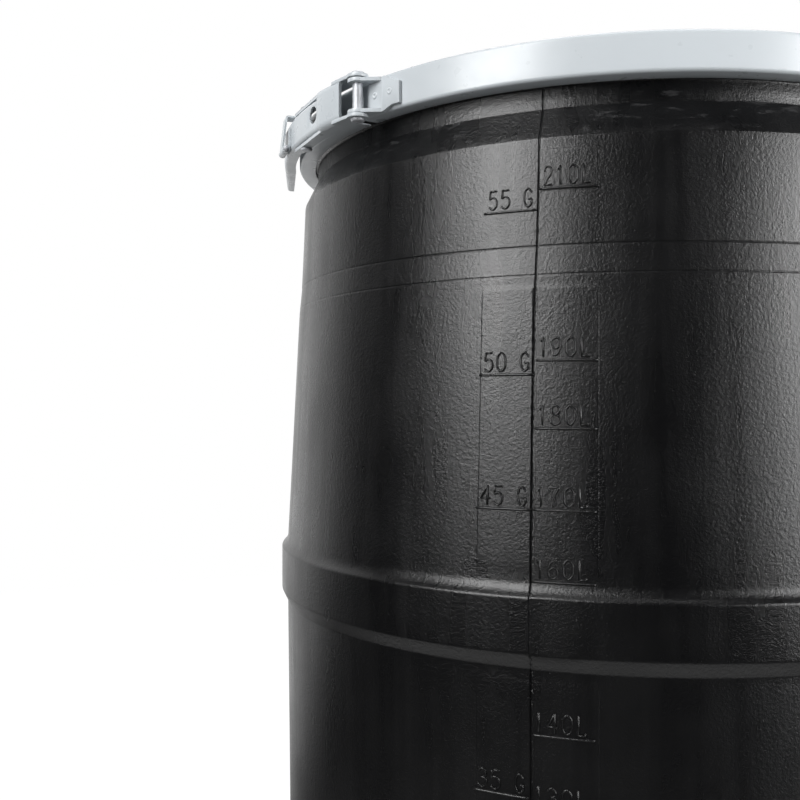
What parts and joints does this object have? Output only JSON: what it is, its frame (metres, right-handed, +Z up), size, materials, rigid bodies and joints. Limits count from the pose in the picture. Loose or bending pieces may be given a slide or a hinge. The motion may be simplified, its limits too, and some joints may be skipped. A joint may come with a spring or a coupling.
{
  "type": "open-head plastic drum",
  "caption": "Tall round plastic drum with two rolling hoops, a recessed lift-off lid and a steel clamping ring closed by an over-centre lever.",
  "frame": {"origin": "on the drum's axis, in the plane of the foot ring it stands on", "axes": "+Z up along the drum's axis; -Y is the front, where the moulding seam and the fill scale run; the ring's latch is on the -X side of the front"},
  "size_m": [0.5897, 0.584, 0.9351],
  "materials": {
    "drum_plastic": "satin, fine orange-peel grain",
    "lid_plastic": "satin",
    "gasket_rubber": "dull",
    "ring_paint": "semi-gloss light grey paint",
    "pin_steel": "bright zinc plating",
    "latch_paint": "semi-gloss light grey paint"
  },
  "bodies": {
    "drum": {"drum_body": "drum_plastic"},
    "cover": {"lid": "lid_plastic", "lid_gasket": "gasket_rubber"},
    "ring": {"ring_band": "ring_paint", "anchor_bracket": "ring_paint", "fulcrum_bracket": "ring_paint", "fulcrum_pin": "pin_steel", "pivot_rivet": "pin_steel"},
    "yoke": {"yoke": "latch_paint", "yoke_rivet": "pin_steel"},
    "lever": {"lever": "latch_paint", "flap_leaf": "latch_paint", "flap_pin": "pin_steel"},
    "flap": {"safety_flap": "latch_paint"}
  },
  "joints": [
    {"name": "lid_lift", "type": "slide", "parent": "drum", "child": "cover", "axis": [0, 0, 1], "range_m": [0, 0.25], "deforming": ["ring_band"]},
    {"name": "ring_lift", "type": "slide", "parent": "cover", "child": "ring", "axis": [0, 0, 1], "range_m": [0, 0.12], "deforming": ["ring_band"]},
    {"name": "yoke_swing", "type": "hinge", "parent": "ring", "child": "yoke", "pos_m": [-0.13364, -0.25455, 0.9185], "axis": [0, 0, 1], "range_deg": [0, 75]},
    {"name": "lever_swing", "type": "hinge", "parent": "yoke", "child": "lever", "pos_m": [-0.20379, -0.1968, 0.9185], "axis": [0, 0, 1], "range_deg": [0, 75]},
    {"name": "flap_swing", "type": "hinge", "parent": "lever", "child": "flap", "pos_m": [-0.23402, -0.17763, 0.907], "axis": [0.6046, -0.7965, 0], "range_deg": [0, 120]}
  ],
  "couplings": [
    {"joint": "lever_swing", "follows": "yoke_swing", "ratio": 1}
  ]
}
